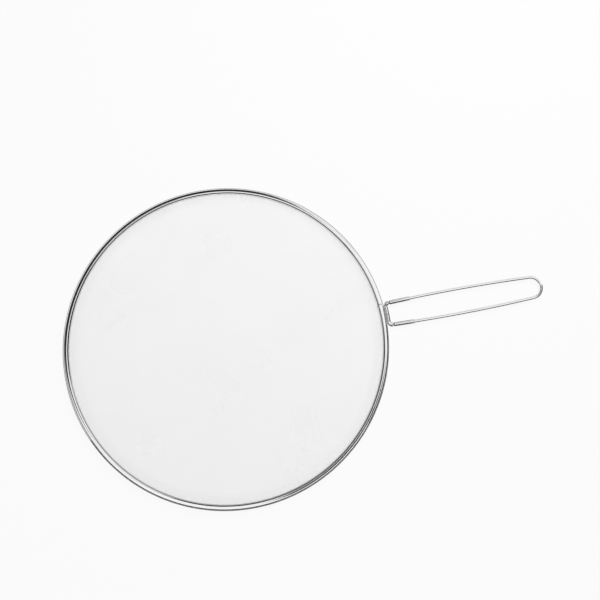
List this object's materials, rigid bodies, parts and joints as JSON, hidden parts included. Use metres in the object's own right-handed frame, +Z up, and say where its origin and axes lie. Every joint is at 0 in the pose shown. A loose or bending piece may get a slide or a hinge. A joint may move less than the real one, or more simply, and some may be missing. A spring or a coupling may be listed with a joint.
{
  "type": "flat wire-cloth sieve",
  "caption": "Flat round sieve: fine steel wire cloth pressed up in the middle, clamped in a rolled steel rim, with a long wire loop handle welded to the rim.",
  "frame": {"origin": "on the surface that the sieve lies on, under the middle of its overall length and width", "axes": "+X along the handle from the disc to the tip of the loop, +Z up through the disc, out of the raised side of its cloth"},
  "size_m": [0.499, 0.33, 0.0062],
  "materials": {
    "rolled_strip": "mirror-polished stainless steel strip",
    "hoop_wire": "drawn steel wire",
    "wire_cloth": "bright plain-woven stainless steel wire",
    "handle_wire": "polished stainless steel wire",
    "weld": "electropolished resistance weld"
  },
  "bodies": {
    "root": {"rim_band": "rolled_strip", "rim_hoop": "hoop_wire", "wire_cloth": "wire_cloth", "handle_loop": "handle_wire", "upper_weld": "weld", "lower_weld": "weld"}
  },
  "joints": []
}
